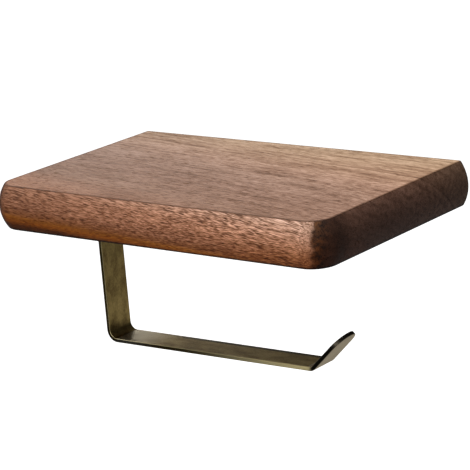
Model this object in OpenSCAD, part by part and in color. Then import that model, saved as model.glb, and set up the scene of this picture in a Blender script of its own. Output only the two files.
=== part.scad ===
// Toilet paper holder: a solid walnut shelf with a bent brass hook for the roll underneath.
// It hangs on two wall screws by keyhole plates let into the back of the board.
// Millimetres. The origin is the centre of the board's back face, which lies on the wall.
// +X is to the right as seen from the room, +Y goes into the wall and +Z is up.

/* [Board] */
// Width of the board along the wall
board_w = 200; // [180:5:300]
// Depth of the board, from the wall to its front edge
board_d = 120; // [110:5:160]
// Thickness of the board
board_t = 22; // [22:1:26]
// Radius of the crown across the front and side edges
crown_r = 18.5; // [16:0.1:30]
// Radius of the front corners in plan, at mid-thickness
corner_r = 14.5; // [10:0.5:16]

/* [Hook] */
// Width of the brass strip
strip_w = 16.5; // [12:0.5:24]
// Thickness of the brass strip
strip_t = 2; // [1.5:0.1:3]
// Outer face of the hook's drop, left of the board's centre
drop_x = 77; // [60:1:80]
// Height of the hook, from the board's underside to its lowest corner
hook_h = 70.3; // [60:0.1:90]
// Length of the bar, from the drop's outer face to where the tip turns up
bar_len = 126; // [110:1:150]
// Rise of the bar towards its tip, in degrees
bar_rise = 1; // [0:0.5:5]
// Angle by which the tip turns up from the bar
tip_angle = 44; // [20:1:80]
// Length of the tip beyond its bend
tip_len = 24; // [16:1:40]
// Inside radius of the two square bends
bend_r = 4; // [3:0.5:10]
// Inside radius of the tip's bend
tip_bend_r = 2; // [1:0.5:8]
// Length of the leg that is screwed to the board
flange_len = 46; // [44:1:60]

/* [Wall hanging] */
// Distance between the two wall screws
hang_pitch = 120; // [100:5:130]
// Height of the wall screws above the middle of the board's thickness
hang_z = 1; // [0:0.5:2]
// How far the shelf lifts to come off the wall screws
lift = 5; // [4.5:0.5:5]
// Length of a keyhole plate
plate_l = 38; // [36:1:44]
// Height of a keyhole plate
plate_h = 16; // [15:1:16]
// Thickness of a keyhole plate
plate_t = 1.5; // [1.2:0.1:2]

/* [Hidden] */
$fn = 64;

// Cutters reach this far past the face that they open
eps = 0.5;

// Hook: middle of the strip in depth, half the board's depth from the wall
hook_y = -board_d / 2;
flange_end_x = flange_len - drop_x;
tip_slope = bar_rise + tip_angle;
// Centres of the three bends, as X and Z, and the outer face's last point
bend_out = bend_r + strip_t;
top_bend = [bend_out - drop_x, -board_t / 2 - bend_out];
low_bend = [bend_out - drop_x, -board_t / 2 - hook_h + bend_out];
bar_end = low_bend - bend_out * across(bar_rise) + (bar_len - bend_out) * along(bar_rise);
tip_bend = bar_end + (tip_bend_r + strip_t) * across(bar_rise);
tip_end = tip_bend - (tip_bend_r + strip_t) * across(tip_slope) + tip_len * along(tip_slope);

// Countersunk wood screws: [shank diameter, head diameter, length, head height]
hook_screw = [3.5, 7, 16, 2];
plate_screw = [3, 5.8, 12, 1.5];
// Places of the hook's screws, from the outer face of its drop
hook_screw_places = [16, 36];
plate_screw_x = plate_l / 2 - 5.5;

// Pan-head wall screw and the plug that it expands
wall_screw_d = 3.5;
wall_screw_l = 25;
wall_head_d = 6.8;
wall_head_h = 2.6;
plug_d = 5;
plug_l = 24.5;
// The plug's mouth sits this far below the wall's face
plug_sink = 0.5;
plug_slit = 0.8;

// Keyhole: the plate sits low, so that the entry hole fits below the wall screw
plate_z = hang_z - 2;
slot_w = 4;
entry_d = 7.6;
// Play between the wall screw's head and the back of the plate
head_gap = 0.2;
pocket_w = 9.4;
pocket_depth = 3.6;

// --- board ---------------------------------------------------------------------------

// Section of the crowned edge, outwards from a corner's centre, from which x is measured
module crown_section() {
    intersection() {
        translate([0, -board_t / 2]) square([corner_r, board_t]);
        translate([corner_r - crown_r, 0]) circle(r = crown_r, $fn = 180);
    }
}

// A straight crowned edge along +X, with the crown towards -Y
module crowned_edge(length) {
    rotate([90, 0, 90])
        linear_extrude(length)
            mirror([1, 0])
                crown_section();
}

// A crowned corner, a quarter turn from -Y to +X
module crowned_corner() {
    rotate([0, 0, -90])
        rotate_extrude(angle = 90, $fn = 180)
            crown_section();
}

// The plain board, before any recess or hole is cut
module board_blank() {
    inner_w = board_w - 2 * corner_r;
    inner_d = board_d - corner_r;
    translate([-inner_w / 2, -inner_d, -board_t / 2]) cube([inner_w, inner_d, board_t]);
    translate([-inner_w / 2, -inner_d, 0]) crowned_edge(inner_w);
    translate([inner_w / 2, -inner_d, 0]) crowned_corner();
    mirror([1, 0, 0]) translate([inner_w / 2, -inner_d, 0]) crowned_corner();
    translate([inner_w / 2, -inner_d, 0]) rotate([0, 0, 90]) crowned_edge(inner_d);
    translate([-inner_w / 2, 0, 0]) rotate([0, 0, -90]) crowned_edge(inner_d);
}

// Recess for a keyhole plate, and the deeper pocket that the screw head moves in
module hanger_recess(x) {
    translate([x, 0, plate_z])
        rotate([90, 0, 0])
            translate([0, 0, -eps]) linear_extrude(plate_t + eps) plate_outline();
    translate([x, 0, 0])
        rotate([90, 0, 0])
            linear_extrude(plate_t + pocket_depth) upright_slot(pocket_w);
}

module shelf_board() {
    color("#8a5a3f")
        difference() {
            board_blank();
            for (side = [-1, 1]) hanger_recess(side * hang_pitch / 2);
            for (x = plate_screw_places) at_plate_screw(x) pilot_hole(plate_screw);
            for (i = [0, 1]) at_hook_screw(i) pilot_hole(hook_screw);
        }
}

// --- hook ----------------------------------------------------------------------------

// Points along an arc, one about every 5 degrees
function arc(centre, r, from, to) =
    let (steps = max(2, round((to - from) / 5)))
    [for (i = [0:steps]) let (a = from + (to - from) * i / steps) centre + r * [cos(a), sin(a)]];

// One face of the strip, from the flange's end to the tip's, as X and Z. inset is 0 for the
// outer face and the strip's thickness for the inner one.
function strip_face(inset) = concat(
    [[flange_end_x, -board_t / 2 - inset]],
    arc(top_bend, bend_r + strip_t - inset, 90, 180),
    arc(low_bend, bend_r + strip_t - inset, 180, 270 + bar_rise),
    arc(tip_bend, tip_bend_r + strip_t - inset, 270 + bar_rise, 270 + tip_slope),
    [tip_end + inset * across(tip_slope)]
);

function along(slope) = [cos(slope), sin(slope)];
function across(slope) = [-sin(slope), cos(slope)];
function reversed(list) = [for (i = [len(list) - 1:-1:0]) list[i]];

// What the round end of the strip leaves to cut away. The end is at the origin, facing +X,
// and the strip's thickness runs along +Z.
module end_cutter() {
    end_r = strip_w / 2 + 0.25;
    difference() {
        translate([-strip_w / 2, -strip_w, -eps])
            cube([strip_w, 2 * strip_w, strip_t + 2 * eps]);
        translate([-end_r, 0, -2 * eps])
            cylinder(r = end_r, h = strip_t + 4 * eps, $fn = 180);
    }
}

module roll_hook() {
    color("#6b5a38")
        difference() {
            translate([0, hook_y, 0])
                rotate([90, 0, 0])
                    linear_extrude(strip_w, center = true)
                        polygon(concat(strip_face(0), reversed(strip_face(strip_t))));
            translate([flange_end_x, hook_y, -board_t / 2 - strip_t]) end_cutter();
            translate([tip_end.x, hook_y, tip_end.y]) rotate([0, -tip_slope, 0]) end_cutter();
            for (i = [0, 1]) at_hook_screw(i) screw_solid(hook_screw);
        }
}

// --- screws --------------------------------------------------------------------------

// Wood screws point along +Z, with the top of the head at z = 0. s is the list of sizes.
module screw_solid(s) {
    tip = s[0];
    cylinder(d1 = s[1], d2 = s[0], h = s[3]);
    translate([0, 0, s[3]]) cylinder(d = s[0], h = s[2] - s[3] - tip);
    translate([0, 0, s[2] - tip]) cylinder(d1 = s[0], d2 = 0.4, h = tip);
}

// A cross recess, across and deep as given, sunk along +Z
module cross_recess(across, depth) {
    blade = across / 4;
    for (turn = [0, 90])
        rotate([0, 0, turn])
            translate([-across / 2, -blade / 2, -eps]) cube([across, blade, depth + eps]);
}

module wood_screw(s) {
    color("#8f8a80")
        difference() {
            screw_solid(s);
            cross_recess(s[1] * 0.6, s[3] * 0.8);
        }
}

// The hole that a wood screw fills, a little deeper than its tip
module pilot_hole(s) {
    translate([0, 0, -eps]) cylinder(d = s[0], h = s[2] + 2 * eps);
}

// Puts a screw up through the flange: 0 is the left one and 1 the right one
module at_hook_screw(i) {
    translate([hook_screw_places[i] - drop_x, hook_y, -board_t / 2 - strip_t]) children();
}

// Places of the four plate screws along X, from left to right
plate_screw_places = [
    for (side = [-1, 1])
        for (end = [-1, 1])
            side * hang_pitch / 2 + end * plate_screw_x
];

// Puts a screw into the board's back at the given x
module at_plate_screw(x) {
    translate([x, 0, plate_z]) rotate([90, 0, 0]) children();
}

// --- wall hanging --------------------------------------------------------------------

// Outline of a keyhole plate, with round ends
module plate_outline() {
    half = (plate_l - plate_h) / 2;
    translate([-half, -plate_h / 2]) square([2 * half, plate_h]);
    for (end = [-1, 1]) translate([end * half, 0]) circle(d = plate_h, $fn = 90);
}

// An upright slot of the given width, from the resting screw down to the entry hole
module upright_slot(w) {
    translate([-w / 2, hang_z - lift]) square([w, lift]);
    for (z = [hang_z, hang_z - lift]) translate([0, z]) circle(d = w, $fn = 90);
}

module keyhole_plate(side) {
    x = side * hang_pitch / 2;
    color("#b9bcc0")
        difference() {
            translate([x, 0, plate_z]) rotate([90, 0, 0]) linear_extrude(plate_t) plate_outline();
            translate([x, eps, 0])
                rotate([90, 0, 0])
                    linear_extrude(plate_t + 2 * eps) {
                        upright_slot(slot_w);
                        translate([0, hang_z - lift]) circle(d = entry_d, $fn = 90);
                    }
            for (end = [-1, 1]) at_plate_screw(x + end * plate_screw_x) screw_solid(plate_screw);
        }
}

// Pan-head screw along +Z from the underside of its head, which is at z = 0
module pan_screw() {
    tip = wall_screw_d;
    dome_r = 6;
    difference() {
        intersection() {
            translate([0, 0, -wall_head_h]) cylinder(d = wall_head_d, h = wall_head_h);
            translate([0, 0, dome_r - wall_head_h]) sphere(r = dome_r, $fn = 90);
        }
        translate([0, 0, -wall_head_h]) cross_recess(wall_head_d * 0.6, 1.8);
    }
    cylinder(d = wall_screw_d, h = wall_screw_l - tip);
    translate([0, 0, wall_screw_l - tip]) cylinder(d1 = wall_screw_d, d2 = 0.4, h = tip);
}

module wall_screw(side) {
    color("#c3c5c8")
        translate([side * hang_pitch / 2, -plate_t - head_gap, hang_z])
            rotate([-90, 0, 0])
                pan_screw();
}

// A nylon plug, slit upright for most of its length
module wall_plug(side) {
    collar = 6;
    color("#c9c4b8")
        translate([side * hang_pitch / 2, plug_sink, hang_z])
            rotate([-90, 0, 0])
                difference() {
                    cylinder(d = plug_d, h = plug_l);
                    translate([0, 0, -eps]) cylinder(d = wall_screw_d, h = plug_l + 2 * eps);
                    translate([-plug_slit / 2, -plug_d, collar])
                        cube([plug_slit, 2 * plug_d, plug_l]);
                }
}

shelf_board();
roll_hook();
at_hook_screw(0) wood_screw(hook_screw);  // hook_screw_left
at_hook_screw(1) wood_screw(hook_screw);  // hook_screw_right
keyhole_plate(-1);  // keyhole_plate_left
at_plate_screw(plate_screw_places[0]) wood_screw(plate_screw);  // plate_screw_left_outer
at_plate_screw(plate_screw_places[1]) wood_screw(plate_screw);  // plate_screw_left_inner
keyhole_plate(1);  // keyhole_plate_right
at_plate_screw(plate_screw_places[2]) wood_screw(plate_screw);  // plate_screw_right_inner
at_plate_screw(plate_screw_places[3]) wood_screw(plate_screw);  // plate_screw_right_outer
wall_screw(-1);  // wall_screw_left
wall_screw(1);  // wall_screw_right
wall_plug(-1);  // wall_plug_left
wall_plug(1);  // wall_plug_right
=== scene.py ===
"""Looks for the wall-hung toilet paper holder: walnut shelf, antique-brass hook and fixings."""
import math

import bmesh
import bpy
from mathutils import Matrix, Vector


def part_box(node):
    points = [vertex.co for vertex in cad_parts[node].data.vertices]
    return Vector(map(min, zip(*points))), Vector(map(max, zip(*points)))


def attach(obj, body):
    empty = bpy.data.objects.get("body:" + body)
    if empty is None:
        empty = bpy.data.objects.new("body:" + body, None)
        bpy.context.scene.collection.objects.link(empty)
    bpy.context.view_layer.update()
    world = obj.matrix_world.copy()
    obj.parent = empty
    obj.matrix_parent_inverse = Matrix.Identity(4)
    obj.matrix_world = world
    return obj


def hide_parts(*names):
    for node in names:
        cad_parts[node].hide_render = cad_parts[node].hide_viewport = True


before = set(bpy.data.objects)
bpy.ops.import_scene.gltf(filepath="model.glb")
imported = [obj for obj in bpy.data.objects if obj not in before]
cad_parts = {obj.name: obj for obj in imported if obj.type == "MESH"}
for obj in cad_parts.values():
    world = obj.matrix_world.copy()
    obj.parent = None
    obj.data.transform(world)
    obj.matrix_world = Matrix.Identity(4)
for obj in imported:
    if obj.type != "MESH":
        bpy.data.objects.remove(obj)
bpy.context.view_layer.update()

MM = 0.001
TAU = 2 * math.pi

# --- Sizes, in mm. Boxes come from the frame; the rest repeats the design's own values. --------


def box_mm(node):
    """Lowest and highest corner of a CAD node, in mm."""
    low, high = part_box(node)
    return Vector(low) / MM, Vector(high) / MM


def centre_mm(node):
    low, high = box_mm(node)
    return (low + high) / 2


board_low, board_high = box_mm("shelf_board")
hook_low, hook_high = box_mm("roll_hook")
BOARD_W = board_high.x - board_low.x
BOARD_D = board_high.y - board_low.y
BOARD_T = board_high.z - board_low.z
UNDERSIDE = board_low.z
CROWN_R = 18.5
CORNER_R = 14.5
ARRIS_R = 0.8
BACK_CORNER_R = 1.0
ARRIS_STEPS = 5
CROWN_STEPS = 16
CORNER_STEPS = 28
CROWN_DEPTH = CROWN_R - math.sqrt(CROWN_R ** 2 - (BOARD_T / 2) ** 2)

STRIP_W = hook_high.y - hook_low.y
STRIP_T = 2.0
HOOK_Y = (hook_low.y + hook_high.y) / 2
DROP_X = hook_low.x
BEND_R = 4.0
TIP_BEND_R = 2.0
FLANGE_LEN = 46.0
BAR_LEN = 126.0
BAR_RISE = 1.0
TIP_ANGLE = 44.0
TIP_LEN = 24.0
HOOK_H = 70.3

HANG_Z = 1.0
LIFT = 5.0
PLATE_T = 1.5
SLOT_W = 4.0
ENTRY_D = 7.6
POCKET_W = 9.4
POCKET_DEPTH = 3.6
PILOT_DEPTH = 12.5
HOOK_PILOT_DEPTH = 14.5

HOOK_SCREW_NODES = ("hook_screw_left", "hook_screw_right")
PLATE_SCREW_NODES = (
    "plate_screw_left_outer", "plate_screw_left_inner",
    "plate_screw_right_inner", "plate_screw_right_outer",
)

# Screws: shank diameter, head diameter, length, head height and thread pitch
HOOK_SCREW = dict(shank=3.5, head=7.0, length=16.0, head_h=2.0, pitch=1.6)
PLATE_SCREW = dict(shank=3.0, head=5.8, length=12.0, head_h=1.5, pitch=1.35)
WALL_SCREW = dict(shank=3.5, head=6.8, length=25.0, head_h=2.6, pitch=1.6)

# Walnut: the pith's place and the wood's colours, by distance from it, in mm
PITH = (0.0, -150.0, -165.0)
HEART_TO_BACK = (155.0, 235.0)
HEART_LINE = (162.4, 164.6)
STREAKS = ((213.0, 215.6), (217.4, 219.2))
RING_WIDTH = 4.6
RING_UNEVEN = 1.6
WALNUT_COLOURS = (
    (0.00, (0.120, 0.035, 0.010)),
    (0.03, (0.220, 0.060, 0.013)),
    (0.055, (0.430, 0.118, 0.014)),
    (0.08, (0.450, 0.150, 0.026)),
    (0.10, (0.380, 0.140, 0.052)),
    (0.14, (0.360, 0.148, 0.076)),
    (0.24, (0.335, 0.155, 0.088)),
    (0.34, (0.292, 0.164, 0.110)),
    (0.45, (0.300, 0.171, 0.118)),
    (0.56, (0.345, 0.203, 0.142)),
    (0.66, (0.405, 0.238, 0.163)),
    (0.74, (0.445, 0.268, 0.178)),
    (0.86, (0.460, 0.288, 0.184)),
    (1.00, (0.495, 0.330, 0.212)),
)

# Directions, in degrees: the fibres forwards and down to the right, the heart down to the right
GRAIN_SLOPE = 6.3
GRAIN_DIP = 3.8
HEART_TILT = 1.95

# How far the fibres wander off those lines, in mm
WANDER = 6.0

# Noise cells per mm, along the fibres and across them, and how strongly each layer shows
WANDER_SCALE = (0.006, 0.02, 0.02)
RING_SCALE = (0.002, 0.09, 0.09)
FINE_SCALE = (0.14, 2.6, 2.6)
FLECK_SCALE = (0.17, 1.4, 1.4)
SCORE_SCALE = (0.10, 2.3, 2.3)
LINE_SCALE = (0.010, 0.45, 0.45)
CLOUD_SCALE = (0.05, 0.09, 0.09)
DRIFT_SCALE = (0.03, 0.16, 0.16)
PORE_SCALE = (0.17, 2.2, 2.2)
RAGGED_SCALE = (0.10, 0.10, 0.30)
FINE_LEFT_TO_RIGHT = (0.30, 0.46)
FLECK = 0.08
CLOUD = 0.08
LATE_WOOD = 0.17
STREAK = 0.30
SCORE_FACE_TO_CROWN = (0.08, 0.22)
LINES_FRONT_TO_BACK = (0.09, 0.30)
CUT_CROWN_TO_FACE = (1.75, 1.0)
CUT_LOST_TURNING = 1.2
CALM_HEART = 0.5
CALM_BACK = 0.62

# Shares that the wood's brightness falls to, and its painted shade and painted light by place
PORE_SHADE = 0.60
ARRIS_SHADE = 0.42
BACK_CORNER_PAINTED_SHADE = 0.42
LEFT_CORNER_PAINTED_SHADE = 0.60
LOW_EDGE_PAINTED_SHADE = 0.18
PAINTED_LIGHT_TO_RIGHT = (0.69, 1.38)
CROWN_RIGHT_LOW_PAINTED_SHADE = (0.86, 0.70, 0.48, 1.0)
CROWN_RIGHT_HIGH_PAINTED_SHEEN = (1.13, 1.17, 1.20, 1.0)
FACE_LEFT_PAINTED_SHEEN = (0.89, 0.98, 1.06, 1.0)

# End grain: how far the crown has turned where it starts, its ragged edge and its tints
END_GRAIN_FROM = (0.40, 0.58)
RAGGED = 0.055
RAGGED_LEAN = -0.007
END_GRAIN_TINT = (0.278, 0.238, 0.232)
END_FRONT_TO_BACK = (1.22, 0.86)
CORNER_TINT = (0.42, 0.37, 0.33, 1.0)
CORNER_GOLD = (0.60, 0.46, 0.20)

# Antique brass: colours, noise cells per mm of the flat strip, and how strong each mark is,
# painted shade, painted reflections and highlights among them
BRASS_COLOURS = (
    (0.0, (0.190, 0.125, 0.046)),
    (0.45, (0.315, 0.226, 0.082)),
    (1.0, (0.450, 0.330, 0.125)),
)
BRASS_PAINTED_REFLECTION = (0.56, 0.51, 0.40, 1.0)
BRASS_WEAR_AND_HIGHLIGHT = (0.86, 0.76, 0.44, 1.0)
BRUSH_SCALE = (0.04, 7.0, 7.0)
PATINA_SCALE = (0.09, 0.20, 0.20)
SPECK_SCALE = (0.9, 1.1, 1.1)
BRUSH = 0.12
TIP_PAINTED_REFLECTION = 0.72
CREASE_PAINTED_HIGHLIGHT = 0.8
BEND_PAINTED_SHADE = 0.55
BACK_EDGE_PAINTED_SHADE = 0.12
BAR_PAINTED_SHADE = 0.66
BAR_PAINTED_LIGHT_AT_TIP = 1.3
DROP_PAINTED_LIGHT_TOP_TO_BOTTOM = (0.98, 1.35)
TIP_ARRIS_PAINTED_SHADE = 0.08
WORN_ROUGHER = 0.34

# Studio: the floor, the fill all around and the soft boxes
FLOOR_HALF = 15.0
FLOOR_Z = -0.6
FLOOR_GLOW = 0.8
FLOOR_FADE = (-500.0, 700.0)
FLOOR_DARK = 0.05
FLOOR_BRIGHT = 0.62
FILL_SIDE = (-0.35, -0.75, 0.5)
FILL_SPREAD = (-0.6, 0.9)
FILL_DARK = 0.05
FILL_BRIGHT = 0.60

# Name, direction, distance, width and height in metres, radiance, colour
SOFT_BOXES = (
    ("key", (-0.07, -0.28, 1.0), 1.2, (0.68, 0.68), 9.2, (1.0, 0.985, 0.96)),
    ("front", (0.14, -1.0, 0.22), 0.9, (0.36, 0.36), 6.0, (1.0, 0.98, 0.95)),
    ("edge", (-0.60, -0.25, 0.75), 2.2, (0.4, 0.4), 10.0, (1.0, 0.99, 0.97)),
    ("rim", (-1.07, 1.0, 0.20), 2.2, (0.5, 0.36), 1.7, (1.0, 0.99, 0.98)),
)

# The camera's direction from the object and its roll in degrees, its aim and distance in metres,
# and its lens in mm
CAMERA_AZIMUTH = 38.77
CAMERA_ELEVATION = 15.45
CAMERA_ROLL = -4.80
CAMERA_AIM = (-0.0199, -0.0299, -0.0298)
CAMERA_DISTANCE = 1.1095
CAMERA_LENS = 170.7


# --- Mesh helpers ------------------------------------------------------------------------------


def rings_to_bmesh(rings):
    """A solid from stacked rings of equal length, in mm, capped at both ends."""
    bm = bmesh.new()
    rows = [[bm.verts.new(Vector(p) * MM) for p in ring] for ring in rings]
    count = len(rings[0])
    for low, high in zip(rows[:-1], rows[1:]):
        for i in range(count):
            j = (i + 1) % count
            bm.faces.new((low[i], low[j], high[j], high[i]))
    bm.faces.new(list(reversed(rows[0])))
    bm.faces.new(rows[-1])
    bmesh.ops.recalc_face_normals(bm, faces=bm.faces)
    return bm


def object_from(bm, name):
    """Turns a bmesh into a linked object with smooth faces."""
    mesh = bpy.data.meshes.new(name)
    bm.to_mesh(mesh)
    bm.free()
    mesh.polygons.foreach_set("use_smooth", [True] * len(mesh.polygons))
    piece = bpy.data.objects.new(name, mesh)
    bpy.context.scene.collection.objects.link(piece)
    return piece


def carve(piece, cutters):
    """Cuts the cutters out of the piece for good, and removes them."""
    for cutter in cutters:
        cut = piece.modifiers.new("cut", "BOOLEAN")
        cut.operation = "DIFFERENCE"
        cut.solver = "EXACT"
        cut.object = cutter
    graph = bpy.context.evaluated_depsgraph_get()
    carved = bpy.data.meshes.new_from_object(piece.evaluated_get(graph))
    piece.modifiers.clear()
    piece.data = carved
    for cutter in cutters:
        bpy.data.objects.remove(cutter)


def smooth_by_area(piece, sharp_deg=35):
    """Smooth shading that keeps flat faces flat and edges past sharp_deg crisp."""
    piece.data.polygons.foreach_set("use_smooth", [True] * len(piece.data.polygons))
    piece.data.set_sharp_from_angle(angle=math.radians(sharp_deg))
    weigh = piece.modifiers.new("weighted_normals", "WEIGHTED_NORMAL")
    weigh.mode = "FACE_AREA"
    weigh.keep_sharp = True
    weigh.weight = 80


def place(piece, matrix):
    """Moves the mesh itself, so that the object stays at the origin."""
    piece.data.transform(matrix)


def finish_piece(piece, material, body, node):
    """Gives the piece its material and its body, and hides the CAD node it stands for."""
    piece.data.materials.clear()
    piece.data.materials.append(material)
    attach(piece, body)
    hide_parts(node)


def arc_points(centre, radius, start, end, steps):
    """Points along a plane arc, angles in degrees."""
    points = []
    for i in range(steps + 1):
        a = math.radians(start + (end - start) * i / steps)
        points.append((centre[0] + radius * math.cos(a), centre[1] + radius * math.sin(a)))
    return points


def ring_of(radius, z, sides=40):
    """A level circle about Z."""
    return [
        (radius * math.cos(TAU * i / sides), radius * math.sin(TAU * i / sides), z)
        for i in range(sides)
    ]


def turned(profile, sides=48):
    """A solid of revolution about Z from (radius, z) pairs."""
    return rings_to_bmesh([ring_of(radius, z, sides) for radius, z in profile])


def stadium(half, radius, inset, steps=24):
    """An outline with round ends, along X, inset by that much."""
    r = radius - inset
    return (
        arc_points((half, 0), r, -90, 90, steps) + arc_points((-half, 0), r, 90, 270, steps)
    )


def filleted_rings(outline_at, thickness, fillet, steps=4):
    """Rings of a plate with rounded edges. outline_at(inset) gives each outline."""
    rings = []
    for side, order in ((0, range(steps + 1)), (1, range(steps, -1, -1))):
        for i in order:
            a = math.radians(90 * i / steps)
            inset = fillet * (1 - math.sin(a))
            rise = fillet * (1 - math.cos(a))
            z = thickness - rise if side else rise
            rings.append([(x, y, z) for x, y in outline_at(inset)])
    return rings


def prism(outline, low, high):
    """A plain prism along Z, for cutting."""
    rings = [[(x, y, z) for x, y in outline] for z in (low, high)]
    return object_from(rings_to_bmesh(rings), "cutter")


def cross_cutter(across, depth):
    """A tapered cross for a screw's recess, pointing down from z = 0."""
    cutters = []
    blade = across * 0.2
    for turn in (0, 90):
        rings = []
        for z, scale in ((0.4, 1.12), (0, 1.0), (-depth, 0.42)):
            x = across / 2 * scale
            y = blade / 2 * (0.6 + 0.4 * scale)
            rings.append([(-x, -y, z), (x, -y, z), (x, y, z), (-x, y, z)])
        cutter = object_from(rings_to_bmesh(rings), "cross")
        place(cutter, Matrix.Rotation(math.radians(turn), 4, "Z"))
        cutters.append(cutter)
    return cutters


# --- Material helpers --------------------------------------------------------------------------


class Nodes:
    """Short calls for building a node tree."""

    def __init__(self, name):
        self.material = bpy.data.materials.new(name)
        self.material.use_nodes = True
        self.tree = self.material.node_tree
        self.shader = self.tree.nodes["Principled BSDF"]

    def add(self, kind, **values):
        node = self.tree.nodes.new(kind)
        for key, value in values.items():
            setattr(node, key, value)
        return node

    def link(self, source, target):
        self.tree.links.new(source, target)

    def feed(self, socket, value):
        """Sets a socket to a constant, or links it to another node's output."""
        if isinstance(value, bpy.types.NodeSocket):
            self.link(value, socket)
        else:
            socket.default_value = value

    def attribute(self, name, output):
        return self.add("ShaderNodeAttribute", attribute_name=name).outputs[output]

    def math(self, operation, a, b=0.0):
        node = self.add("ShaderNodeMath", operation=operation)
        self.feed(node.inputs[0], a)
        self.feed(node.inputs[1], b)
        return node.outputs[0]

    def times(self, a, b):
        return self.math("MULTIPLY", a, b)

    def plus(self, a, b):
        return self.math("ADD", a, b)

    def minus(self, a, b):
        return self.math("SUBTRACT", a, b)

    def most(self, a, b):
        return self.math("MAXIMUM", a, b)

    def vector(self, operation, a, b=(0, 0, 0)):
        node = self.add("ShaderNodeVectorMath", operation=operation)
        self.feed(node.inputs[0], a)
        self.feed(node.inputs[1], b)
        return node.outputs[0]

    def by_parts(self, a, b):
        """Each part of one vector or colour times the same part of the other."""
        return self.vector("MULTIPLY", a, b)

    def length(self, value):
        node = self.add("ShaderNodeVectorMath", operation="LENGTH")
        self.link(value, node.inputs[0])
        return node.outputs["Value"]

    def rotate(self, axis, value, degrees):
        node = self.add("ShaderNodeVectorRotate", rotation_type=axis)
        self.link(value, node.inputs["Vector"])
        node.inputs["Angle"].default_value = math.radians(degrees)
        return node.outputs[0]

    def split(self, value):
        """The three parts of a vector."""
        node = self.add("ShaderNodeSeparateXYZ")
        self.link(value, node.inputs[0])
        return tuple(node.outputs)

    def joined(self, *parts):
        """A vector from its three parts."""
        node = self.add("ShaderNodeCombineXYZ")
        for socket, part in zip(node.inputs, parts):
            self.feed(socket, part)
        return node.outputs[0]

    def noise(self, where, scale=1.0, detail=2.0, rough=0.5):
        node = self.add("ShaderNodeTexNoise")
        self.feed(node.inputs["Vector"], where)
        node.inputs["Scale"].default_value = scale
        node.inputs["Detail"].default_value = detail
        node.inputs["Roughness"].default_value = rough
        return node.outputs["Fac"]

    def span(self, value, low, high, to_low=0.0, to_high=1.0, smooth=True):
        """Maps low..high of value to to_low..to_high, clamped."""
        node = self.add("ShaderNodeMapRange")
        node.interpolation_type = "SMOOTHSTEP" if smooth else "LINEAR"
        self.feed(node.inputs["Value"], value)
        for key, number in (
            ("From Min", low), ("From Max", high), ("To Min", to_low), ("To Max", to_high),
        ):
            node.inputs[key].default_value = number
        return node.outputs["Result"]

    def ripple(self, where, detail):
        """Noise spread to about -1..1."""
        value = self.noise(where, detail=detail, rough=0.6)
        return self.span(value, 0.32, 0.68, -1.0, 1.0, smooth=False)

    def band(self, value, low, high):
        """1 in the middle of low..high, 0 outside it."""
        middle = (low + high) / 2
        return self.times(self.span(value, low, middle), self.span(value, high, middle))

    def shaded(self, value, mask, to):
        """The value, falling to that share of itself where the mask is 1."""
        return self.times(value, self.span(mask, 0.0, 1.0, 1.0, to, smooth=False))

    def grey_vector(self, value):
        """The same number in all three channels."""
        return self.joined(value, value, value)

    def ramp(self, value, stops):
        """A colour ramp from (position, colour) pairs."""
        node = self.add("ShaderNodeValToRGB")
        self.feed(node.inputs["Fac"], value)
        elements = node.color_ramp.elements
        while len(elements) < len(stops):
            elements.new(1.0)
        for element, (position, colour) in zip(elements, stops):
            element.position = position
            element.color = (*colour, 1.0)
        return node.outputs["Color"]

    def mix(self, factor, a, b):
        node = self.add("ShaderNodeMix", data_type="RGBA")
        self.feed(node.inputs["Factor"], factor)
        self.feed(node.inputs[6], a)
        self.feed(node.inputs[7], b)
        return node.outputs[2]

    def bump(self, height, strength, distance):
        node = self.add("ShaderNodeBump")
        self.link(height, node.inputs["Height"])
        node.inputs["Strength"].default_value = strength
        node.inputs["Distance"].default_value = distance
        self.link(node.outputs["Normal"], self.shader.inputs["Normal"])

    def object_mm(self):
        """The piece's own coordinates in mm."""
        node = self.add("ShaderNodeVectorMath", operation="SCALE")
        self.link(self.add("ShaderNodeTexCoord").outputs["Object"], node.inputs[0])
        node.inputs["Scale"].default_value = 1 / MM
        return node.outputs[0]


def grey(value):
    return (value, value, value, 1.0)


def walnut_directions(n, where):
    """Coordinates along the fibres, which wander a little, and the distance from the pith, which
    sinks a little to the right."""
    level = n.rotate("Z_AXIS", where, GRAIN_SLOPE)
    wander = n.add("ShaderNodeTexNoise")
    n.link(n.by_parts(level, WANDER_SCALE), wander.inputs["Vector"])
    wander.inputs["Detail"].default_value = 3.0
    wander.inputs["Scale"].default_value = 1.0
    shift_by = n.vector("SUBTRACT", wander.outputs["Color"], (0.5, 0.5, 0.5))
    level = n.vector("ADD", level, n.by_parts(shift_by, (0.0, WANDER, WANDER)))
    fibre = n.rotate("Y_AXIS", level, -GRAIN_DIP)
    sunk = n.rotate("Y_AXIS", level, -HEART_TILT)
    flat = n.by_parts(n.vector("SUBTRACT", sunk, PITH), (0.0, 1.0, 1.0))
    return fibre, n.length(flat)


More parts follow.
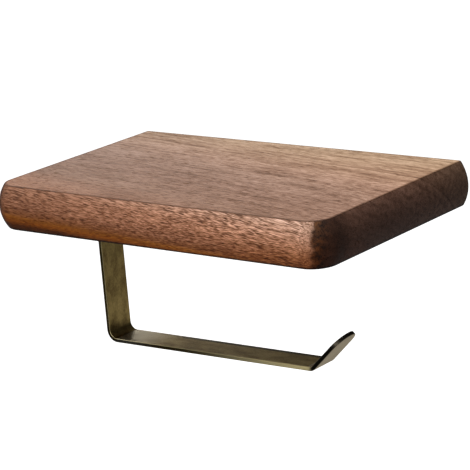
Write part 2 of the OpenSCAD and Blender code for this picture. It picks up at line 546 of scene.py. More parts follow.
class BoardFacing:
    """Masks from the way the board's surface faces and from where on the board it is."""

    def __init__(self, n, x, y, z):
        self.normal_x, _, normal_z = n.split(n.add("ShaderNodeNewGeometry").outputs["Normal"])
        upright = n.math("ABSOLUTE", normal_z)
        self.upright = upright
        self.faces = n.span(upright, 0.75, 0.97)
        crown = n.minus(1.0, self.faces)

        # How far the crown has turned to the side, the same at every height
        level_part = n.math("SQRT", n.minus(1.0, n.times(upright, upright)))
        self.sideways = n.math("DIVIDE", self.normal_x, n.most(level_part, 0.6))

        # Distance past the outline where a face meets the crown, negative on the face
        rest = CORNER_R - CROWN_DEPTH
        over_x = n.minus(n.math("ABSOLUTE", x), BOARD_W / 2 - CROWN_DEPTH - rest)
        over_y = n.minus(board_low.y + CORNER_R, y)
        square = n.math("MINIMUM", n.most(over_x, over_y), 0.0)
        round_part = n.joined(n.most(over_x, 0.0), n.most(over_y, 0.0), 0.0)
        gap = n.minus(n.plus(n.length(round_part), square), rest)
        gap = n.most(gap, n.minus(y, 0.1))
        self.arris = n.times(n.span(upright, 0.60, 0.68), n.span(gap, -1.6, -0.4))
        # Masks for painted shade on the back corners and along the crown's bottom edge, and for
        # painted light on the crown to the right
        self.painted_rear_shade = n.times(n.span(y, -1.8, -0.7),
                            n.span(n.math("ABSOLUTE", self.sideways), 0.2, 0.5))
        self.painted_low_edge_shade = n.times(n.span(z, -9.2, -10.6), crown)
        self.to_right = n.times(n.span(x, 10.0, 80.0), crown)


def walnut_end_grain(n, where, y, z, facing):
    """Where the crown's end grain starts, with a ragged edge, and how it fades at the corner."""
    ragged = n.ripple(n.by_parts(where, RAGGED_SCALE), 2.0)
    ragged = n.plus(n.times(ragged, RAGGED), n.times(z, RAGGED_LEAN))
    end = n.plus(n.math("ABSOLUTE", facing.sideways), ragged)
    end = n.times(n.span(end, *END_GRAIN_FROM), n.span(facing.upright, 0.97, 0.80))
    turn = n.plus(facing.sideways, ragged)
    corner = n.times(n.span(turn, 0.50, 0.88), n.span(y, -94.0, -107.0))
    golden = n.times(n.span(turn, 0.42, 0.56), n.span(turn, 0.98, 0.66))
    return end, corner, golden


def walnut_rings(n, fibre, radius):
    """Dark late wood in each growth ring, and the few strongest streaks."""
    uneven = n.noise(n.by_parts(fibre, RING_SCALE), detail=1.0)
    phase = n.plus(n.math("DIVIDE", radius, RING_WIDTH), n.times(uneven, RING_UNEVEN))
    phase = n.math("FRACT", phase)
    late = n.times(n.span(phase, 0.45, 0.95), n.span(phase, 1.0, 0.96))
    streaks = n.times(n.band(radius, *HEART_LINE), 0.7)
    for streak in STREAKS:
        streaks = n.most(streaks, n.band(radius, *streak))
    return late, streaks


def walnut_pores(n, fibre):
    """Open pores: short dark dashes along the fibres, in drifts."""
    drift = n.noise(n.by_parts(fibre, DRIFT_SCALE), detail=1.0)
    pore = n.noise(n.by_parts(fibre, PORE_SCALE), detail=1.0, rough=0.4)
    return n.span(n.plus(pore, n.times(drift, 0.16)), 0.65, 0.73)


def walnut_grain(n, fibre, radius, x, fine, facing):
    """Fine lines, flecks and scores. The crown is cut across the fibres and shows them more
    strongly than the faces do, apart from where it turns to the side."""
    fleck = n.ripple(n.by_parts(fibre, FLECK_SCALE), 1.0)
    score = n.noise(n.by_parts(fibre, SCORE_SCALE), detail=1.0, rough=0.4)
    score = n.times(n.span(score, 0.55, 0.63),
                    n.span(facing.upright, 0.97, 0.60, *SCORE_FACE_TO_CROWN))
    crisp = n.span(x, -70.0, 70.0, *FINE_LEFT_TO_RIGHT)
    grain = n.plus(n.times(fine, crisp), n.times(fleck, FLECK))
    grain = n.minus(grain, score)

    turning = n.span(n.math("ABSOLUTE", facing.normal_x), 0.05, 0.50)
    cut = n.span(facing.upright, 0.60, 0.97, *CUT_CROWN_TO_FACE)
    cut = n.minus(cut, n.times(turning, CUT_LOST_TURNING))
    calm = n.times(n.span(radius, 159.0, 167.0, CALM_HEART, 1.0),
                   n.span(radius, 200.0, 216.0, 1.0, CALM_BACK))
    return n.times(grain, n.times(cut, calm))


def walnut():
    """Solid walnut: rings about a pith below the board's front edge, fibres that run slightly
    down and forwards to the right, open pores, pale wood at the back and dark end grain."""
    n = Nodes("walnut")
    where = n.object_mm()
    x, y, z = n.split(where)
    fibre, radius = walnut_directions(n, where)
    facing = BoardFacing(n, x, y, z)
    end, corner, golden = walnut_end_grain(n, where, y, z, facing)
    late, streaks = walnut_rings(n, fibre, radius)
    pore = walnut_pores(n, fibre)
    fine = n.ripple(n.by_parts(fibre, FINE_SCALE), 2.0)
    lines = n.ripple(n.by_parts(fibre, LINE_SCALE), 3.0)
    cloud = n.ripple(n.by_parts(where, CLOUD_SCALE), 3.0)

    # Light and dark wood, from the figure
    shade = walnut_grain(n, fibre, radius, x, fine, facing)
    shade = n.plus(shade, n.times(cloud, CLOUD))
    line_strength = n.span(radius, 170.0, 215.0, *LINES_FRONT_TO_BACK)
    shade = n.plus(shade, n.times(lines, line_strength))
    shade = n.minus(shade, n.times(late, LATE_WOOD))
    shade = n.minus(shade, n.times(streaks, STREAK))
    shade = n.most(n.plus(shade, 1.0), 0.2)
    shade = n.shaded(shade, pore, PORE_SHADE)

    # Darker along the arrises; painted shade on the back corners and on the left corner, which
    # turned away from the light
    shade = n.shaded(shade, facing.arris, ARRIS_SHADE)
    shade = n.times(shade, n.span(facing.normal_x, -0.50, -0.05, LEFT_CORNER_PAINTED_SHADE, 1.0))
    shade = n.shaded(shade, facing.painted_rear_shade, BACK_CORNER_PAINTED_SHADE)

    # Broad colour from the heart outwards; dark wood is redder
    base = n.ramp(n.span(radius, *HEART_TO_BACK, smooth=False), WALNUT_COLOURS)
    tone = n.joined(shade, n.math("POWER", shade, 1.2), n.math("POWER", shade, 1.4))
    base = n.by_parts(base, tone)

    # End grain drinks the oil and goes dark, most of all just past the right front corner
    dark = n.by_parts(base, END_GRAIN_TINT)
    from_front = n.span(y, -95.0, -8.0, *END_FRONT_TO_BACK, smooth=False)
    dark = n.by_parts(dark, n.grey_vector(from_front))
    streaky = n.plus(1.0, n.times(lines, 0.8))
    gold = n.by_parts(n.grey_vector(streaky), CORNER_GOLD)
    dark = n.by_parts(dark, n.mix(golden, grey(1.0), gold))
    dark = n.by_parts(dark, n.mix(corner, grey(1.0), CORNER_TINT))

    # Painted light: the crown is painted paler to the right, and at the right paler and greyer
    # high up as a painted sheen and darker and warmer low down as painted shade; the faces are
    # painted greyer on the left as a painted sheen
    painted_light_at_right = n.mix(n.span(z, -8.5, 5.0), CROWN_RIGHT_LOW_PAINTED_SHADE, CROWN_RIGHT_HIGH_PAINTED_SHEEN)
    base = n.by_parts(base, n.mix(facing.to_right, grey(1.0), painted_light_at_right))
    across = (x, board_low.x, board_high.x)
    painted_crown_light = n.grey_vector(n.span(*across, *PAINTED_LIGHT_TO_RIGHT, smooth=False))
    painted_face_sheen = n.mix(n.span(*across, smooth=False), FACE_LEFT_PAINTED_SHEEN, grey(1.0))
    tint = n.mix(facing.faces, painted_crown_light, painted_face_sheen)
    # Painted shade along the crown's bottom edge, where little light reached from below
    painted_low_edge_shade = n.grey_vector(n.span(facing.painted_low_edge_shade, 0.0, 1.0, 1.0, LOW_EDGE_PAINTED_SHADE))
    tint = n.by_parts(tint, painted_low_edge_shade)
    # The wood's colour and its end grain, times the painted light and shade above
    n.link(n.by_parts(n.mix(end, base, dark), tint), n.shader.inputs["Base Color"])

    rough = n.plus(n.span(pore, 0.0, 1.0, 0.50, 0.78), n.times(fine, 0.05))
    rough = n.plus(rough, n.times(end, 0.12))
    n.link(rough, n.shader.inputs["Roughness"])
    n.shader.inputs["Specular IOR Level"].default_value = 0.24
    n.bump(n.minus(n.times(fine, 0.3), pore), 0.6, 0.00012)
    return n.material


class StripPlaces:
    """Masks for stretches of the hook's strip, from where a point was on it when flat."""

    def __init__(self, n, along, across):
        starts = [start for start, *_ in strip_frames()]
        drop, low_bend, bar, tip_bend, tip = starts[2:7]
        edge = STRIP_W / 2
        self.rim = n.attribute("rim", "Fac")
        self.on_bar = n.times(n.span(along, bar + 12, bar + 40), n.span(along, tip, tip_bend))
        self.on_tip = n.span(along, tip_bend, tip)
        self.bend = n.times(n.span(along, low_bend - 4, low_bend + 1),
                            n.span(along, bar + 0.5, bar - 1.5))
        self.back = n.times(n.span(across, edge - 4.0, edge - 1.6), self.on_bar)

        # Painted light: how much paler the strip is towards the tip, as a painted reflection, and
        # down the drop, whose top is darker with painted shade under the board
        self.near_tip = n.span(along, bar + 70, tip_bend, 1.0, BAR_PAINTED_LIGHT_AT_TIP)
        paler = n.minus(n.span(along, drop, low_bend, *DROP_PAINTED_LIGHT_TOP_TO_BOTTOM), 1.0)
        self.down_drop = n.plus(n.times(paler, n.span(along, bar, low_bend)), 1.0)

        # Where the roll rubs, bright with wear and a painted highlight: the bar's right end, and
        # the arris and rim that face forwards there
        self.rub_and_highlight = n.times(n.span(along, bar + 30, tip_bend),
                           n.span(along, tip_bend + 1.5, tip_bend - 1.0))
        front = n.times(n.span(across, 1.25 - edge, 0.55 - edge), self.rub_and_highlight)
        self.rub_highlight_band = n.most(front, n.times(self.rim, self.rub_and_highlight))

        # Painted reflections: the bar's left end and the tip are painted pale and silvery, and a
        # crease before the tip's bend as a painted highlight
        left = n.times(n.span(along, bar + 34, bar + 6), n.span(along, bar - 1.5, bar + 1.0))
        painted_reflection = n.most(left, n.span(along, tip_bend, tip, 0.0, TIP_PAINTED_REFLECTION))
        crease = n.times(n.band(along, tip_bend - 1.8, tip_bend - 0.2),
                         n.span(across, STRIP_W / 4, 0.0))
        self.painted_reflection = n.most(painted_reflection, n.times(crease, CREASE_PAINTED_HIGHLIGHT))


def antique_brass():
    """Aged brass, brushed along the strip: patina clouds; painted shade in the lower bend, on the
    bar, along its back edge and on the cut rims;
    painted reflections at the bar's left end and the tip, painted light down the drop; and arrises
    bright with wear and painted highlights, most where the roll slides on and off."""
    n = Nodes("antique_brass")
    where = n.attribute("strip", "Vector")
    along, across, _ = n.split(where)
    place_of = StripPlaces(n, along, across)

    brush = n.ripple(n.by_parts(where, BRUSH_SCALE), 3.0)
    cloud = n.noise(n.by_parts(where, PATINA_SCALE), detail=4.0, rough=0.65)
    speck = n.noise(n.by_parts(where, SPECK_SCALE), detail=3.0, rough=0.7)
    patina = n.plus(n.times(n.span(cloud, 0.32, 0.68), 0.65),
                    n.times(n.span(speck, 0.35, 0.7), 0.35))
    # Painted reflections mixed into the patina's colour
    colour = n.mix(place_of.painted_reflection, n.ramp(patina, BRASS_COLOURS), BRASS_PAINTED_REFLECTION)

    # Painted shade in the lower bend, on the bar and along its back edge, where they reflect dark
    # surroundings; painted light towards the tip and down the drop
    shade = n.shaded(n.shaded(1.0, place_of.bend, BEND_PAINTED_SHADE), place_of.back, BACK_EDGE_PAINTED_SHADE)
    shade = n.times(n.shaded(shade, place_of.on_bar, BAR_PAINTED_SHADE), place_of.near_tip)
    shade = n.times(shade, place_of.down_drop)
    shade = n.times(shade, n.plus(1.0, n.times(brush, BRUSH)))

    # Painted shade: cut rims are dark, and so are the tip's arrises, as dark reflections; the rims
    # are paler where the roll rubs, as a painted highlight
    painted_rim_shade = n.minus(n.times(place_of.rub_and_highlight, 0.5), n.plus(n.times(place_of.on_tip, 0.35), 0.60))
    shade = n.times(shade, n.plus(1.0, n.times(place_of.rim, painted_rim_shade)))
    arris_wear_and_highlight = n.attribute("arris_wear_and_highlight", "Fac")
    shade = n.shaded(shade, n.times(arris_wear_and_highlight, place_of.on_tip), TIP_ARRIS_PAINTED_SHADE)
    colour = n.by_parts(colour, n.grey_vector(shade))

    # Arrises elsewhere are bright with wear and painted as highlights, most of all at the bar's
    # right end, with a painted highlight band beside the front arris
    arris_wear_and_highlight = n.shaded(arris_wear_and_highlight, place_of.on_tip, 0.0)
    arris_wear_and_highlight = n.times(arris_wear_and_highlight, n.span(place_of.rub_and_highlight, 0.0, 1.0, 0.60, 1.0))
    arris_wear_and_highlight = n.most(arris_wear_and_highlight, place_of.rub_highlight_band)
    n.link(n.mix(arris_wear_and_highlight, colour, BRASS_WEAR_AND_HIGHLIGHT), n.shader.inputs["Base Color"])
    n.shader.inputs["Metallic"].default_value = 1.0
    n.shader.inputs["Specular Tint"].default_value = (0.82, 0.76, 0.67, 1.0)
    rough = n.plus(n.span(patina, 0.0, 1.0, 0.40, 0.30), n.times(brush, 0.05))
    n.link(n.plus(rough, n.times(arris_wear_and_highlight, WORN_ROUGHER)), n.shader.inputs["Roughness"])
    n.bump(brush, 0.18, 0.00003)
    return n.material


def screw_metal(name, colour, roughness):
    """Turned and plated metal, with fine marks and dull patches."""
    n = Nodes(name)
    where = n.object_mm()
    patch = n.noise(where, scale=0.8, detail=4.0, rough=0.6)
    patch = n.span(patch, 0.3, 0.7)
    dark = tuple(c * 0.72 for c in colour)
    n.link(n.ramp(patch, [(0.0, dark), (1.0, colour)]), n.shader.inputs["Base Color"])
    n.shader.inputs["Metallic"].default_value = 1.0
    rough = n.span(patch, 0.0, 1.0, roughness + 0.10, roughness - 0.04)
    n.link(rough, n.shader.inputs["Roughness"])
    marks = n.noise(where, scale=9.0, detail=2.0)
    n.bump(marks, 0.12, 0.00002)
    return n.material


def zinc_plate():
    """Bright zinc plating on stamped sheet: faint spangle and rolling lines."""
    n = Nodes("zinc_plate")
    where = n.object_mm()
    cells = n.add("ShaderNodeTexVoronoi")
    n.link(where, cells.inputs["Vector"])
    cells.inputs["Scale"].default_value = 0.55
    lines = n.noise(n.by_parts(where, (0.08, 6.0, 6.0)), detail=3.0)
    lines = n.span(lines, 0.3, 0.7, -1.0, 1.0, smooth=False)
    split = n.add("ShaderNodeSeparateColor")
    n.link(cells.outputs["Color"], split.inputs[0])
    tone = n.plus(n.times(split.outputs[0], 0.16), n.times(lines, 0.05))
    tone = n.plus(tone, 0.42)
    tint = n.by_parts(n.grey_vector(tone), (0.96, 0.98, 1.0))
    n.link(tint, n.shader.inputs["Base Color"])
    n.shader.inputs["Metallic"].default_value = 1.0
    n.link(n.span(split.outputs[1], 0.0, 1.0, 0.30, 0.46), n.shader.inputs["Roughness"])
    n.bump(lines, 0.12, 0.00002)
    return n.material


def nylon():
    """Matte moulded nylon with a little mottling."""
    n = Nodes("nylon")
    where = n.object_mm()
    mottle = n.span(n.noise(where, scale=0.6, detail=3.0), 0.3, 0.7)
    n.link(
        n.ramp(mottle, [(0.0, (0.42, 0.41, 0.38)), (1.0, (0.50, 0.49, 0.45))]),
        n.shader.inputs["Base Color"],
    )
    n.link(n.span(mottle, 0.0, 1.0, 0.52, 0.62), n.shader.inputs["Roughness"])
    n.bump(n.noise(where, scale=4.0, detail=2.0), 0.15, 0.00005)
    return n.material


# --- Shelf board -------------------------------------------------------------------------------


def board_profile():
    """(inset from the widest outline, inset at the back, z) from the top face to the bottom."""
    half = BOARD_T / 2
    lean = math.asin((half - ARRIS_R) / (CROWN_R - ARRIS_R))
    centre = CROWN_R - (CROWN_R - ARRIS_R) * math.cos(lean)
    back_r = ARRIS_R * (1 - math.sin(lean))
    upper = []
    for i in range(ARRIS_STEPS + 1):
        a = math.pi / 2 + (lean - math.pi / 2) * i / ARRIS_STEPS
        upper.append((centre - ARRIS_R * math.cos(a), half - ARRIS_R + ARRIS_R * math.sin(a)))
    for i in range(1, CROWN_STEPS + 1):
        a = lean * (1 - i / CROWN_STEPS)
        upper.append((CROWN_R - CROWN_R * math.cos(a), CROWN_R * math.sin(a)))
    rows = upper + [(inset, -z) for inset, z in reversed(upper[:-1])]
    profile = []
    for inset, z in rows:
        past = max(0.0, abs(z) - (half - back_r))
        back = back_r - math.sqrt(max(back_r * back_r - past * past, 0.0))
        profile.append((inset, back, z))
    return profile


def board_outline(inset, back):
    """One level of the board in plan, with round front corners and crisp back ones."""
    side = BOARD_W / 2 - inset
    front = -BOARD_D + inset
    r = CORNER_R - inset
    crisp = BACK_CORNER_R
    points = arc_points((side - crisp, -back - crisp), crisp, 90, 0, 6)
    points += arc_points((side - r, front + r), r, 0, -90, CORNER_STEPS)
    points += arc_points((-side + r, front + r), r, -90, -180, CORNER_STEPS)
    points += arc_points((-side + crisp, -back - crisp), crisp, 180, 90, 6)
    return points


def keyhole_slot(width):
    """Outline of an upright slot in X and Z, from the resting screw down to the entry."""
    top = arc_points((0, HANG_Z), width / 2, 0, 180, 16)
    bottom = arc_points((0, HANG_Z - LIFT), width / 2, 180, 360, 16)
    return top + bottom


def into_board():
    """Turns +Z of a cutter or a screw to -Y, from the wall into the board, and Y to Z."""
    return Matrix.Rotation(math.radians(90), 4, "X")


def from_wall():
    """Turns +Z of a screw to +Y, into the wall."""
    return Matrix.Rotation(math.radians(-90), 4, "X")


def shift(x, y, z):
    return Matrix.Translation(Vector((x, y, z)) * MM)


def plate_outline_at(node):
    """Length, height and centre of a keyhole plate, from the frame."""
    low, high = box_mm(node)
    return high.x - low.x, high.z - low.z, (low + high) / 2


def make_board(material):
    rings = []
    for inset, back, z in board_profile():
        rings.append([(x, y, z) for x, y in board_outline(inset, back)])
    board = object_from(rings_to_bmesh(rings), "walnut_shelf")
    cutters = []
    for side in ("left", "right"):
        length, height, centre = plate_outline_at(f"keyhole_plate_{side}")
        outline = stadium((length - height) / 2, height / 2, 0)
        recess = prism(outline, -0.5, PLATE_T)
        place(recess, shift(centre.x, 0, centre.z) @ into_board())
        pocket = prism(keyhole_slot(POCKET_W), -0.5, PLATE_T + POCKET_DEPTH)
        place(pocket, shift(centre.x, 0, 0) @ into_board())
        cutters += [recess, pocket]
    for node in PLATE_SCREW_NODES:
        centre = centre_mm(node)
        radius = PLATE_SCREW["shank"] / 2
        hole = object_from(turned([(radius, 0), (radius, PILOT_DEPTH)]), "pilot")
        place(hole, shift(centre.x, 0, centre.z) @ into_board())
        cutters.append(hole)
    for node in HOOK_SCREW_NODES:
        centre = centre_mm(node)
        radius = HOOK_SCREW["shank"] / 2
        hole = object_from(turned([(radius, -2.5), (radius, HOOK_PILOT_DEPTH)]), "pilot")
        place(hole, shift(centre.x, centre.y, UNDERSIDE))
        cutters.append(hole)
    carve(board, cutters)
    smooth_by_area(board, 40)
    finish_piece(board, material, "shelf", "shelf_board")


# --- Roll hook ---------------------------------------------------------------------------------


def strip_sections():
    """The strip's centre line as (length, turn in degrees, centre-line radius) pieces."""
    mid = STRIP_T / 2
    bend = BEND_R + mid
    drop = HOOK_H - 2 * (BEND_R + STRIP_T)
    return [
        (FLANGE_LEN - BEND_R - STRIP_T, 0, 0),
        (0, 90, bend),
        (drop, 0, 0),
        (0, 90 + BAR_RISE, bend),
        (BAR_LEN - BEND_R - STRIP_T, 0, 0),
        (0, TIP_ANGLE, TIP_BEND_R + mid),
        (TIP_LEN, 0, 0),
    ]


def strip_frames():
    """(start length, end length, start point, heading, turn, radius) of each section, where
    points are X and Z and headings are degrees."""
    point = Vector((DROP_X + FLANGE_LEN, UNDERSIDE - STRIP_T / 2))
    heading = 180.0
    done = 0.0
    frames = []
    for length, turn, radius in strip_sections():
        size = length if not turn else math.radians(turn) * radius
        frames.append((done, done + size, point.copy(), heading, turn, radius))
        if turn:
            left = Vector((-math.sin(math.radians(heading)), math.cos(math.radians(heading))))
            centre = point + left * radius
            heading += turn
            left = Vector((-math.sin(math.radians(heading)), math.cos(math.radians(heading))))
            point = centre - left * radius
        else:
            a = math.radians(heading)
            point = point + Vector((math.cos(a), math.sin(a))) * length
        done += size
    return frames


def bent(frames, s, y, z):
    """Where a point of the flat strip goes: s along it, y across, z up from its middle."""
    for start, end, point, heading, turn, radius in frames:
        if s <= end + 1e-6:
            break
    here = s - start
    if turn:
        a = math.radians(heading + turn * here / (end - start))
        a0 = math.radians(heading)
        centre = point + Vector((-math.sin(a0), math.cos(a0))) * radius
        spot = centre - Vector((-math.sin(a), math.cos(a))) * radius
    else:
        a = math.radians(heading)
        spot = point + Vector((math.cos(a), math.sin(a))) * here
    spot = spot + Vector((-math.sin(a), math.cos(a))) * z
    return Vector((spot.x, HOOK_Y + y, spot.y))


def strip_edges(s, y, z, length, fillet):
    """How far a point is on a rounded arris, and how far on the cut rim, each from 0 to 1."""
    half = STRIP_W / 2
    over = max(half - s, s - (length - half), 0.0)
    gap = half - math.hypot(over, y)
    side = min(max((fillet - gap) / fillet, 0.0), 1.0)
    face = min(max((abs(z) - (STRIP_T / 2 - fillet)) / fillet, 0.0), 1.0)
    return min(1.0, 2 * side * face), max(0.0, side - face)


def make_hook(material):
    frames = strip_frames()
    length = frames[-1][1]
    fillet = 0.35
    middle = length / 2
    flat_half = middle - STRIP_W / 2

    def outline(inset):
        return [(x + middle, y) for x, y in stadium(flat_half, STRIP_W / 2, inset, 32)]

    hook = object_from(rings_to_bmesh(filleted_rings(outline, STRIP_T, fillet)), "brass_hook")
    place(hook, shift(0, 0, -STRIP_T / 2))

    # Countersinks, drilled in the flat strip from what becomes the lower face of the flange
    cutters = []
    for node in HOOK_SCREW_NODES:
        low, high = box_mm(node)
        s = DROP_X + FLANGE_LEN - (low.x + high.x) / 2
        cone = [
            (HOOK_SCREW["shank"] / 2, -1.5), (HOOK_SCREW["shank"] / 2, -1.0),
            (HOOK_SCREW["head"] / 2, 1.0), (HOOK_SCREW["head"] / 2 + 0.5, 1.5),
        ]
        cutter = object_from(turned(cone, 64), "countersink")
        place(cutter, shift(s, 0, 0))
        cutters.append(cutter)
    carve(hook, cutters)

    # Cuts across the strip wherever it bends, then the bends themselves
    bm = bmesh.new()
    bm.from_mesh(hook.data)
    for start, end, _, _, turn, _ in frames:
        steps = max(1, round(turn / 3)) if turn else max(1, round((end - start) / 12))
        for i in range(steps + 1):
            at = (start + (end - start) * i / steps) * MM
            if at <= STRIP_W / 2 * MM * 0.2 or at >= (length - 1.6) * MM:
                continue
            bmesh.ops.bisect_plane(
                bm, geom=bm.verts[:] + bm.edges[:] + bm.faces[:], dist=1e-7,
                plane_co=(at, 0, 0), plane_no=(1, 0, 0),
            )
    flat = bm.verts.layers.float_vector.new("strip")
    # Arris mask for wear and painted highlights, and rim mask for painted shade
    arris_wear_and_highlight = bm.verts.layers.float.new("arris_wear_and_highlight")
    rim = bm.verts.layers.float.new("rim")
    for vert in bm.verts:
        s, y, z = vert.co / MM
        vert[flat] = Vector((s, y, z))
        vert[arris_wear_and_highlight], vert[rim] = strip_edges(s, y, z, length, fillet)
        vert.co = bent(frames, s, y, z) * MM
    bm.to_mesh(hook.data)
    bm.free()
    smooth_by_area(hook, 40)
    finish_piece(hook, material, "shelf", "roll_hook")


# --- Screws ------------------------------------------------------------------------------------


def thread_radius(z, turn, core, ridge, pitch, start, end):
    """Radius of a threaded shank at a height and a turn from 0 to 1."""
    phase = (z / pitch - turn) % 1.0
    crest = max(0.0, 1.0 - abs(phase - 0.5) / 0.24)
    fade = min(1.0, max(0.0, (z - start) / pitch), max(0.0, (end - z) / (pitch * 0.6)))
    return core + ridge * crest * fade


def threaded_rings(size, start, sides=40):
    """Rings of the shank from start to its point: a core, a helical crest and a cone."""
    outer = size["shank"] / 2
    core = outer * 0.68
    point = size["length"] - size["shank"] * 1.1
    rings = []
    rows = int((size["length"] - start) / size["pitch"] * 12)
    for k in range(rows + 1):
        z = start + (size["length"] - start) * k / rows
        taper = 1.0 if z <= point else max(0.04, 1 - (z - point) / (size["length"] - point))
        ring = []
        for i in range(sides):
            r = thread_radius(
                z, i / sides, core, outer - core, size["pitch"], start + 0.4, size["length"]
            )
            a = TAU * i / sides
            ring.append((r * taper * math.cos(a), r * taper * math.sin(a), z))
        rings.append(ring)
    return rings


def countersunk_screw(name, size):
    """A wood screw along +Z with the top of its flat head at z = 0."""
    head = size["head"] / 2
    shank = size["shank"] / 2
    bevel = 0.12
    under = size["head_h"]
    neck = under + 1.2
    profile = [
        (head - bevel, 0), (head - bevel * 0.3, bevel * 0.3), (head, bevel),
        (head - 0.05, bevel + 0.15), (shank + 0.15, under - 0.1), (shank, under + 0.15),
        (shank * 0.98, neck),
    ]
    rings = [ring_of(r, z) for r, z in profile]
    rings += threaded_rings(size, neck + 0.35)
    screw = object_from(rings_to_bmesh(rings), name)
    cross = cross_cutter(size["head"] * 0.58, size["head_h"] * 0.85)
    for cutter in cross:
        place(cutter, Matrix.Rotation(math.pi, 4, "X"))
    carve(screw, cross)
    return screw


def pan_screw(name, size):
    """A pan-head screw along +Z, with the underside of its head at z = 0."""
    head = size["head"] / 2
    shank = size["shank"] / 2
    top = size["head_h"]
    dome = [
        (head * 0.30, -top), (head * 0.55, -top + 0.08), (head * 0.75, -top + 0.32),
        (head * 0.90, -top + 0.75), (head * 0.985, -top + 1.35), (head, -top + 1.9),
        (head, -0.22), (head - 0.08, -0.06), (head - 0.25, 0.0), (shank + 0.3, 0.0),
        (shank, 0.25), (shank * 0.98, 1.6),
    ]
    rings = [ring_of(r, z) for r, z in dome]
    rings += threaded_rings(size, 2.0)
    screw = object_from(rings_to_bmesh(rings), name)
    cross = cross_cutter(size["head"] * 0.56, 1.7)
    for cutter in cross:
        place(cutter, shift(0, 0, -top) @ Matrix.Rotation(math.pi, 4, "X"))
    carve(screw, cross)
    return screw


# --- Keyhole plates and plugs ------------------------------------------------------------------


def make_plate(side, material):
    node = f"keyhole_plate_{side}"
    length, height, centre = plate_outline_at(node)

    def outline(inset):
        return stadium((length - height) / 2, height / 2, inset)

    plate = object_from(rings_to_bmesh(filleted_rings(outline, PLATE_T, 0.2, 3)), f"hanger_{side}")
    place(plate, shift(centre.x, 0, centre.z) @ into_board())
    slot = prism(keyhole_slot(SLOT_W), -1, PLATE_T + 1)
    place(slot, shift(centre.x, 0, 0) @ into_board())
    entry = prism(arc_points((0, HANG_Z - LIFT), ENTRY_D / 2, 0, 352.5, 47), -1, PLATE_T + 1)
    place(entry, shift(centre.x, 0, 0) @ into_board())
    cutters = [slot, entry]
    for screw in PLATE_SCREW_NODES:
        spot = centre_mm(screw)
        if abs(spot.x - centre.x) > length / 2:
            continue
        head, shank = PLATE_SCREW["head"] / 2, PLATE_SCREW["shank"] / 2
        cone = [(head + 0.4, -0.4), (head, 0), (shank, PLATE_T), (shank, PLATE_T + 0.5)]
        cutter = object_from(turned(cone), "countersink")
        place(cutter, shift(spot.x, 0, spot.z) @ into_board())
        cutters.append(cutter)
    carve(plate, cutters)
    smooth_by_area(plate, 38)
    finish_piece(plate, material, "shelf", node)


def make_plug(side, material):
    """A ribbed nylon plug with a slit, barbs and a tapered tail."""
    node = f"wall_plug_{side}"
    low, high = box_mm(node)
    centre = (low + high) / 2
    outer = (high.x - low.x) / 2
    length = high.y - low.y
    bore = WALL_SCREW["shank"] / 2
    sides = 48
    rings = []
    rows = 150
    for k in range(rows + 1):
        z = length * k / rows
        tail = 1.0 - 0.16 * max(0.0, (z - length + 3.0) / 3.0)
        barb = 0.0
        if 5.0 < z < length - 2.5:
            barb = 0.38 * ((z - 5.0) / 2.4 % 1.0)
        collar = 0.0 if z > 1.0 else 0.12 * (1 - z)
        ring = []
        for i in range(sides):
            a = TAU * i / sides
            fin = max(0.0, 1 - abs(((a / TAU * 2 + 0.5) % 1.0) - 0.5) / 0.06)
            r = (outer - barb * (1 - fin) - collar) * tail
            ring.append((r * math.cos(a), r * math.sin(a), z))
        rings.append(ring)
    plug = object_from(rings_to_bmesh(rings), f"nylon_plug_{side}")
    hole = object_from(turned([(bore, -1), (bore * 0.99, length + 1)]), "bore")
    mouth = object_from(turned([(bore + 0.5, -0.5), (bore + 0.35, 0), (bore - 0.2, 0.9)]), "mouth")
    slit = prism([(-0.4, -4), (0.4, -4), (0.4, 4), (-0.4, 4)], 6.0, length + 1)
    carve(plug, [hole, mouth, slit])
    place(plug, shift(centre.x, low.y, centre.z) @ from_wall())
    smooth_by_area(plug, 38)
    finish_piece(plug, material, "wall_fixings", node)


# --- Stage, light and camera -------------------------------------------------------------------


def seen_or_lit(tree, seen, lit, kind):
    """Joins two shaders: one that the camera sees, and one that lights the object."""
    path = tree.nodes.new("ShaderNodeLightPath")
    choose = tree.nodes.new("ShaderNodeMixShader")
    tree.links.new(path.outputs["Is Camera Ray"], choose.inputs[0])
    tree.links.new(lit.outputs[0], choose.inputs[1])
    tree.links.new(seen.outputs[0], choose.inputs[2])
    output = next(node for node in tree.nodes if node.type == kind)
    tree.links.new(choose.outputs[0], output.inputs["Surface"])


def make_floor():
    """A wide pale floor well below the shelf. It throws back less light than it shows, as a
    table whose near side lies in shade would."""
    bm = bmesh.new()
    bmesh.ops.create_grid(bm, x_segments=8, y_segments=8, size=FLOOR_HALF)
    floor = object_from(bm, "floor")
    floor.location.z = FLOOR_Z
    n = Nodes("floor_paint")
    tone = n.span(n.noise(n.object_mm(), scale=0.01, detail=2.0), 0.3, 0.7)
    n.link(
        n.ramp(tone, [(0.0, (0.94, 0.94, 0.94)), (1.0, (0.96, 0.96, 0.96))]),
        n.shader.inputs["Base Color"],
    )
    n.shader.inputs["Roughness"].default_value = 0.9
    n.shader.inputs["Specular IOR Level"].default_value = 0.0
    n.shader.inputs["Emission Color"].default_value = grey(1.0)
    n.shader.inputs["Emission Strength"].default_value = FLOOR_GLOW
    shaded = n.add("ShaderNodeBsdfDiffuse")
    _, depth, _ = n.split(n.object_mm())
    bounce = n.span(depth, *FLOOR_FADE, FLOOR_DARK, FLOOR_BRIGHT)
    n.link(bounce, shaded.inputs["Color"])
    seen_or_lit(n.tree, n.shader, shaded, "OUTPUT_MATERIAL")
    floor.data.materials.append(n.material)


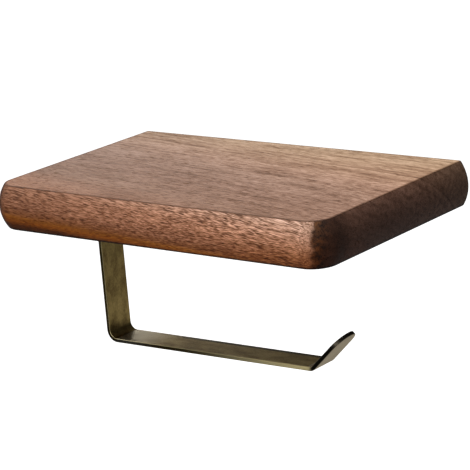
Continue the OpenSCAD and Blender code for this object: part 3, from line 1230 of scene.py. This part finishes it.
def make_world():
    """White behind the object, and a soft dim fill around it that fades to the right."""
    world = bpy.data.worlds.new("studio")
    world.use_nodes = True
    tree = world.node_tree
    seen = tree.nodes["Background"]
    seen.inputs["Color"].default_value = grey(1.0)
    seen.inputs["Strength"].default_value = 1.2
    where = tree.nodes.new("ShaderNodeTexCoord")
    split = tree.nodes.new("ShaderNodeVectorMath")
    split.operation = "DOT_PRODUCT"
    tree.links.new(where.outputs["Generated"], split.inputs[0])
    split.inputs[1].default_value = Vector(FILL_SIDE).normalized()
    fade = tree.nodes.new("ShaderNodeMapRange")
    tree.links.new(split.outputs["Value"], fade.inputs["Value"])
    fade.inputs["From Min"].default_value = FILL_SPREAD[0]
    fade.inputs["From Max"].default_value = FILL_SPREAD[1]
    fade.inputs["To Min"].default_value = FILL_DARK
    fade.inputs["To Max"].default_value = FILL_BRIGHT
    lit = tree.nodes.new("ShaderNodeBackground")
    tree.links.new(fade.outputs["Result"], lit.inputs["Strength"])
    seen_or_lit(tree, seen, lit, "OUTPUT_WORLD")
    bpy.context.scene.world = world


def make_lights():
    """Soft boxes, each at a distance in a direction from the object and aimed at it."""
    for name, direction, distance, size, radiance, colour in SOFT_BOXES:
        light = bpy.data.lights.new(name, "AREA")
        light.shape = "RECTANGLE"
        light.size, light.size_y = size
        light.energy = radiance * math.pi * size[0] * size[1]
        light.color = colour
        lamp = bpy.data.objects.new(name, light)
        away = Vector(direction).normalized()
        lamp.location = away * distance
        lamp.rotation_euler = away.to_track_quat("Z", "Y").to_euler()
        bpy.context.scene.collection.objects.link(lamp)


def make_camera():
    """Camera to the right of the front, a little above, slightly rolled."""
    azimuth = math.radians(CAMERA_AZIMUTH)
    elevation = math.radians(CAMERA_ELEVATION)
    roll = math.radians(CAMERA_ROLL)
    back = Vector((
        math.sin(azimuth) * math.cos(elevation),
        -math.cos(azimuth) * math.cos(elevation),
        math.sin(elevation),
    ))
    data = bpy.data.cameras.new("camera")
    data.lens = CAMERA_LENS
    data.sensor_width = 36.0
    data.clip_start = 0.01
    camera = bpy.data.objects.new("camera", data)
    right = (-back).cross(Vector((0, 0, 1))).normalized()
    up = right.cross(-back)
    turned_right = right * math.cos(roll) + up * math.sin(roll)
    turned_up = up * math.cos(roll) - right * math.sin(roll)
    basis = Matrix((turned_right, turned_up, back)).transposed().to_4x4()
    spot = Vector(CAMERA_AIM) + back * CAMERA_DISTANCE
    camera.matrix_world = Matrix.Translation(spot) @ basis
    bpy.context.scene.collection.objects.link(camera)
    bpy.context.scene.camera = camera


# --- The whole object --------------------------------------------------------------------------

make_camera()
make_floor()
make_world()
make_lights()
brass = antique_brass()
brass_screws = screw_metal("aged_brass_screw", (0.30, 0.24, 0.13), 0.36)
steel = screw_metal("zinc_screw", (0.60, 0.60, 0.58), 0.30)
make_board(walnut())
make_hook(brass)

for node in HOOK_SCREW_NODES:
    low, high = box_mm(node)
    screw = countersunk_screw(f"{node}_turned", HOOK_SCREW)
    place(screw, shift((low.x + high.x) / 2, (low.y + high.y) / 2, low.z))
    smooth_by_area(screw)
    finish_piece(screw, brass_screws, "shelf", node)

for node in PLATE_SCREW_NODES:
    low, high = box_mm(node)
    screw = countersunk_screw(f"{node}_turned", PLATE_SCREW)
    place(screw, shift((low.x + high.x) / 2, 0, (low.z + high.z) / 2) @ into_board())
    smooth_by_area(screw)
    finish_piece(screw, steel, "shelf", node)

zinc = zinc_plate()
plastic = nylon()
for side in ("left", "right"):
    make_plate(side, zinc)
    make_plug(side, plastic)
    node = f"wall_screw_{side}"
    low, high = box_mm(node)
    screw = pan_screw(f"{node}_turned", WALL_SCREW)
    head_face = low.y + WALL_SCREW["head_h"]
    place(screw, shift((low.x + high.x) / 2, head_face, (low.z + high.z) / 2) @ from_wall())
    smooth_by_area(screw)
    finish_piece(screw, steel, "wall_fixings", node)

bpy.context.scene.view_settings.view_transform = "Standard"
